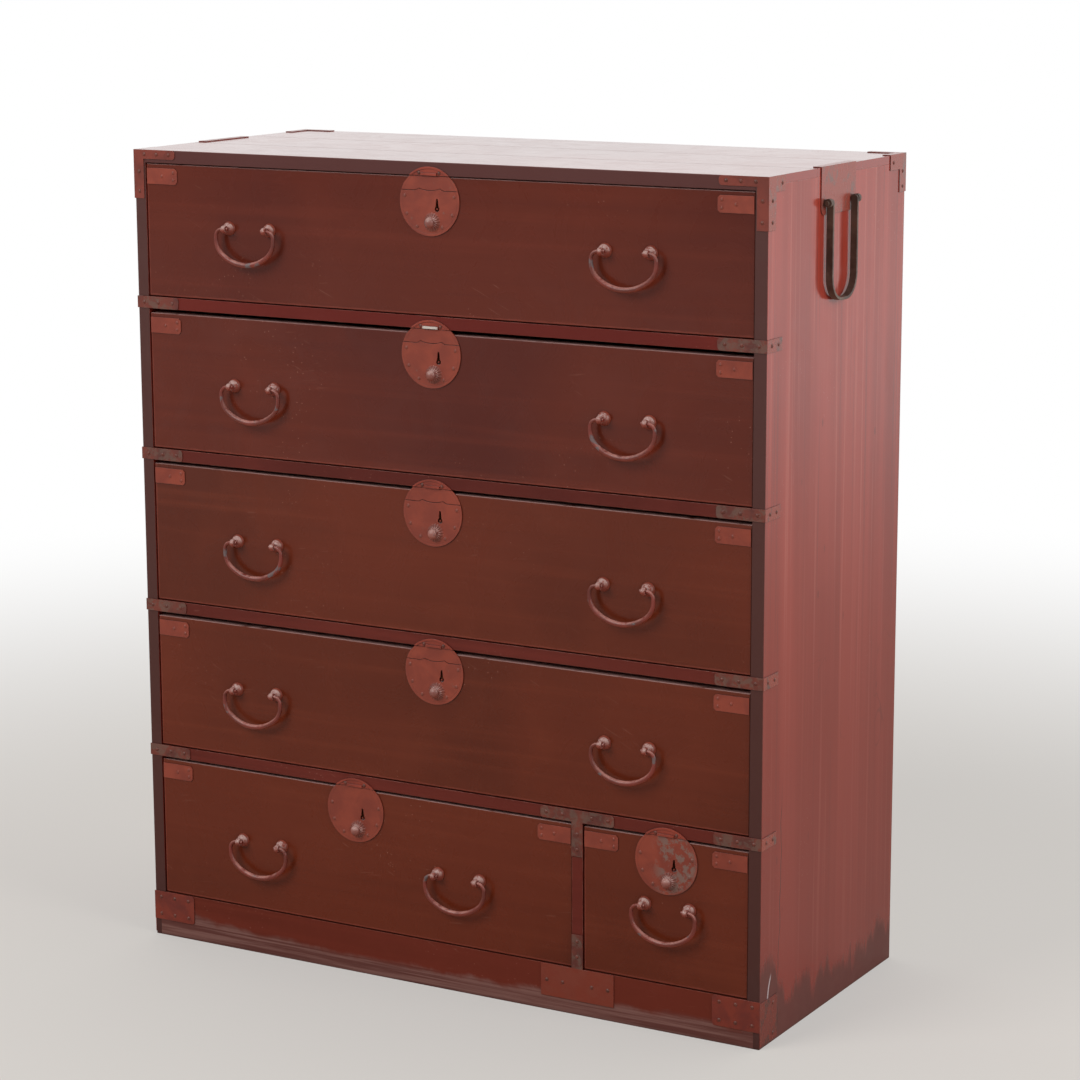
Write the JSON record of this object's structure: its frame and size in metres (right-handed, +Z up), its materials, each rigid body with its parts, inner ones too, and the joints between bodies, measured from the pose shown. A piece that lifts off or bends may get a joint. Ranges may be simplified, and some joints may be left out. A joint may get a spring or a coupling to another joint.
{
  "type": "drawer chest",
  "caption": "Floor-standing lacquered wooden drawer chest: iron-bound board case, sliding drawers with push-knob locks, swinging bail pulls and side carrying handles.",
  "frame": {"origin": "on the floor, in the middle of the whole footprint with the pulls and iron plates counted in it", "axes": "+X to the viewer's right, +Y to the back, +Z up; the drawers open along -Y"},
  "size_m": [0.9032, 0.3986, 1.0292],
  "materials": {
    "case_lacquer": "glossy red lacquer, worn",
    "drawer_lacquer": "dark red-brown lacquer, semi-gloss",
    "bare_wood": "bare softwood",
    "plate_iron": "iron painted brick red, worn",
    "pull_iron": "forged iron, worn red paint",
    "bolt_iron": "bare iron",
    "black_iron": "dark forged iron"
  },
  "bodies": {
    "case": {"left_side": "case_lacquer", "right_side": "case_lacquer", "top_panel": "case_lacquer", "bottom_panel": "bare_wood", "back_panel": "bare_wood", "base_rail": "case_lacquer", "front_rails": "case_lacquer", "divider": "case_lacquer", "drawer_runners": "bare_wood", "corner_plates": "plate_iron", "rail_straps": "plate_iron", "base_plates": "plate_iron", "striker_plates": "plate_iron", "case_nails": "plate_iron", "carry_plates": "plate_iron", "carry_posts": "black_iron"},
    "carry_left": {"carry_handle_left": "black_iron"},
    "carry_right": {"carry_handle_right": "black_iron"},
    "drawer_1": {"drawer_1_front": "drawer_lacquer", "drawer_1_box": "bare_wood", "drawer_1_irons": "plate_iron"},
    "drawer_1_knob": {"drawer_1_lock_knob": "pull_iron"},
    "drawer_1_bolt": {"drawer_1_lock_bolt": "bolt_iron"},
    "drawer_1_bail_left": {"drawer_1_pull_left": "pull_iron"},
    "drawer_1_bail_right": {"drawer_1_pull_right": "pull_iron"},
    "drawer_2": {"drawer_2_front": "drawer_lacquer", "drawer_2_box": "bare_wood", "drawer_2_irons": "plate_iron"},
    "drawer_2_knob": {"drawer_2_lock_knob": "pull_iron"},
    "drawer_2_bolt": {"drawer_2_lock_bolt": "bolt_iron"},
    "drawer_2_bail_left": {"drawer_2_pull_left": "pull_iron"},
    "drawer_2_bail_right": {"drawer_2_pull_right": "pull_iron"},
    "drawer_3": {"drawer_3_front": "drawer_lacquer", "drawer_3_box": "bare_wood", "drawer_3_irons": "plate_iron"},
    "drawer_3_knob": {"drawer_3_lock_knob": "pull_iron"},
    "drawer_3_bolt": {"drawer_3_lock_bolt": "bolt_iron"},
    "drawer_3_bail_left": {"drawer_3_pull_left": "pull_iron"},
    "drawer_3_bail_right": {"drawer_3_pull_right": "pull_iron"},
    "drawer_4": {"drawer_4_front": "drawer_lacquer", "drawer_4_box": "bare_wood", "drawer_4_irons": "plate_iron"},
    "drawer_4_knob": {"drawer_4_lock_knob": "pull_iron"},
    "drawer_4_bolt": {"drawer_4_lock_bolt": "bolt_iron"},
    "drawer_4_bail_left": {"drawer_4_pull_left": "pull_iron"},
    "drawer_4_bail_right": {"drawer_4_pull_right": "pull_iron"},
    "drawer_5": {"drawer_5_front": "drawer_lacquer", "drawer_5_box": "bare_wood", "drawer_5_irons": "plate_iron"},
    "drawer_5_knob": {"drawer_5_lock_knob": "pull_iron"},
    "drawer_5_bolt": {"drawer_5_lock_bolt": "bolt_iron"},
    "drawer_5_bail_left": {"drawer_5_pull_left": "pull_iron"},
    "drawer_5_bail_right": {"drawer_5_pull_right": "pull_iron"},
    "drawer_6": {"drawer_6_front": "drawer_lacquer", "drawer_6_box": "bare_wood", "drawer_6_irons": "plate_iron"},
    "drawer_6_knob": {"drawer_6_lock_knob": "pull_iron"},
    "drawer_6_bolt": {"drawer_6_lock_bolt": "bolt_iron"},
    "drawer_6_bail": {"drawer_6_pull": "pull_iron"}
  },
  "joints": [
    {"name": "carry_left_swing", "type": "hinge", "parent": "case", "child": "carry_left", "pos_m": [-0.4466, 0.0012, 0.987], "axis": [0, 1, 0], "range_deg": [0, 180]},
    {"name": "carry_right_swing", "type": "hinge", "parent": "case", "child": "carry_right", "pos_m": [0.4466, 0.0012, 0.987], "axis": [0, -1, 0], "range_deg": [0, 180]},
    {"name": "drawer_1_slide", "type": "slide", "parent": "case", "child": "drawer_1", "axis": [0, -1, 0], "range_m": [0, 0.28]},
    {"name": "drawer_1_knob_push", "type": "slide", "parent": "drawer_1", "child": "drawer_1_knob", "axis": [0, 1, 0], "range_m": [0, 0.002], "stiffness_N_per_m": 400, "springref_m": -0.001},
    {"name": "drawer_1_bolt_lift", "type": "slide", "parent": "drawer_1", "child": "drawer_1_bolt", "axis": [0, 0, 1], "range_m": [0, 0.005]},
    {"name": "drawer_1_pull_left_swing", "type": "hinge", "parent": "drawer_1", "child": "drawer_1_bail_left", "pos_m": [-0.2685, -0.1943, 0.935], "axis": [-1, 0, 0], "range_deg": [-8, 180]},
    {"name": "drawer_1_pull_right_swing", "type": "hinge", "parent": "drawer_1", "child": "drawer_1_bail_right", "pos_m": [0.261, -0.1943, 0.935], "axis": [-1, 0, 0], "range_deg": [-8, 180]},
    {"name": "drawer_2_slide", "type": "slide", "parent": "case", "child": "drawer_2", "axis": [0, -1, 0], "range_m": [0, 0.28]},
    {"name": "drawer_2_knob_push", "type": "slide", "parent": "drawer_2", "child": "drawer_2_knob", "axis": [0, 1, 0], "range_m": [0, 0.002], "stiffness_N_per_m": 400, "springref_m": -0.001},
    {"name": "drawer_2_bolt_lift", "type": "slide", "parent": "drawer_2", "child": "drawer_2_bolt", "axis": [0, 0, 1], "range_m": [0, 0.005]},
    {"name": "drawer_2_pull_left_swing", "type": "hinge", "parent": "drawer_2", "child": "drawer_2_bail_left", "pos_m": [-0.266, -0.1943, 0.7385], "axis": [-1, 0, 0], "range_deg": [-8, 180]},
    {"name": "drawer_2_pull_right_swing", "type": "hinge", "parent": "drawer_2", "child": "drawer_2_bail_right", "pos_m": [0.26, -0.1943, 0.7385], "axis": [-1, 0, 0], "range_deg": [-8, 180]},
    {"name": "drawer_3_slide", "type": "slide", "parent": "case", "child": "drawer_3", "axis": [0, -1, 0], "range_m": [0, 0.28]},
    {"name": "drawer_3_knob_push", "type": "slide", "parent": "drawer_3", "child": "drawer_3_knob", "axis": [0, 1, 0], "range_m": [0, 0.002], "stiffness_N_per_m": 400, "springref_m": -0.001},
    {"name": "drawer_3_bolt_lift", "type": "slide", "parent": "drawer_3", "child": "drawer_3_bolt", "axis": [0, 0, 1], "range_m": [0, 0.005]},
    {"name": "drawer_3_pull_left_swing", "type": "hinge", "parent": "drawer_3", "child": "drawer_3_bail_left", "pos_m": [-0.266, -0.1943, 0.5405], "axis": [-1, 0, 0], "range_deg": [-8, 180]},
    {"name": "drawer_3_pull_right_swing", "type": "hinge", "parent": "drawer_3", "child": "drawer_3_bail_right", "pos_m": [0.259, -0.1943, 0.5405], "axis": [-1, 0, 0], "range_deg": [-8, 180]},
    {"name": "drawer_4_slide", "type": "slide", "parent": "case", "child": "drawer_4", "axis": [0, -1, 0], "range_m": [0, 0.28]},
    {"name": "drawer_4_knob_push", "type": "slide", "parent": "drawer_4", "child": "drawer_4_knob", "axis": [0, 1, 0], "range_m": [0, 0.002], "stiffness_N_per_m": 400, "springref_m": -0.001},
    {"name": "drawer_4_bolt_lift", "type": "slide", "parent": "drawer_4", "child": "drawer_4_bolt", "axis": [0, 0, 1], "range_m": [0, 0.005]},
    {"name": "drawer_4_pull_left_swing", "type": "hinge", "parent": "drawer_4", "child": "drawer_4_bail_left", "pos_m": [-0.272, -0.1943, 0.3475], "axis": [-1, 0, 0], "range_deg": [-8, 180]},
    {"name": "drawer_4_pull_right_swing", "type": "hinge", "parent": "drawer_4", "child": "drawer_4_bail_right", "pos_m": [0.261, -0.1943, 0.3475], "axis": [-1, 0, 0], "range_deg": [-8, 180]},
    {"name": "drawer_5_slide", "type": "slide", "parent": "case", "child": "drawer_5", "axis": [0, -1, 0], "range_m": [0, 0.28]},
    {"name": "drawer_5_knob_push", "type": "slide", "parent": "drawer_5", "child": "drawer_5_knob", "axis": [0, 1, 0], "range_m": [0, 0.002], "stiffness_N_per_m": 400, "springref_m": -0.001},
    {"name": "drawer_5_bolt_lift", "type": "slide", "parent": "drawer_5", "child": "drawer_5_bolt", "axis": [0, 0, 1], "range_m": [0, 0.005]},
    {"name": "drawer_5_pull_left_swing", "type": "hinge", "parent": "drawer_5", "child": "drawer_5_bail_left", "pos_m": [-0.2682, -0.1943, 0.148], "axis": [-1, 0, 0], "range_deg": [-8, 180]},
    {"name": "drawer_5_pull_right_swing", "type": "hinge", "parent": "drawer_5", "child": "drawer_5_bail_right", "pos_m": [0.0258, -0.1943, 0.148], "axis": [-1, 0, 0], "range_deg": [-8, 180]},
    {"name": "drawer_6_slide", "type": "slide", "parent": "case", "child": "drawer_6", "axis": [0, -1, 0], "range_m": [0, 0.28]},
    {"name": "drawer_6_knob_push", "type": "slide", "parent": "drawer_6", "child": "drawer_6_knob", "axis": [0, 1, 0], "range_m": [0, 0.002], "stiffness_N_per_m": 400, "springref_m": -0.001},
    {"name": "drawer_6_bolt_lift", "type": "slide", "parent": "drawer_6", "child": "drawer_6_bolt", "axis": [0, 0, 1], "range_m": [0, 0.005]},
    {"name": "drawer_6_pull_swing", "type": "hinge", "parent": "drawer_6", "child": "drawer_6_bail", "pos_m": [0.316, -0.1943, 0.1565], "axis": [-1, 0, 0], "range_deg": [-8, 180]}
  ],
  "couplings": [
    {"joint": "drawer_1_bolt_lift", "follows": "drawer_1_knob_push", "ratio": 2.5},
    {"joint": "drawer_2_bolt_lift", "follows": "drawer_2_knob_push", "ratio": 2.5},
    {"joint": "drawer_3_bolt_lift", "follows": "drawer_3_knob_push", "ratio": 2.5},
    {"joint": "drawer_4_bolt_lift", "follows": "drawer_4_knob_push", "ratio": 2.5},
    {"joint": "drawer_5_bolt_lift", "follows": "drawer_5_knob_push", "ratio": 2.5},
    {"joint": "drawer_6_bolt_lift", "follows": "drawer_6_knob_push", "ratio": 2.5}
  ]
}
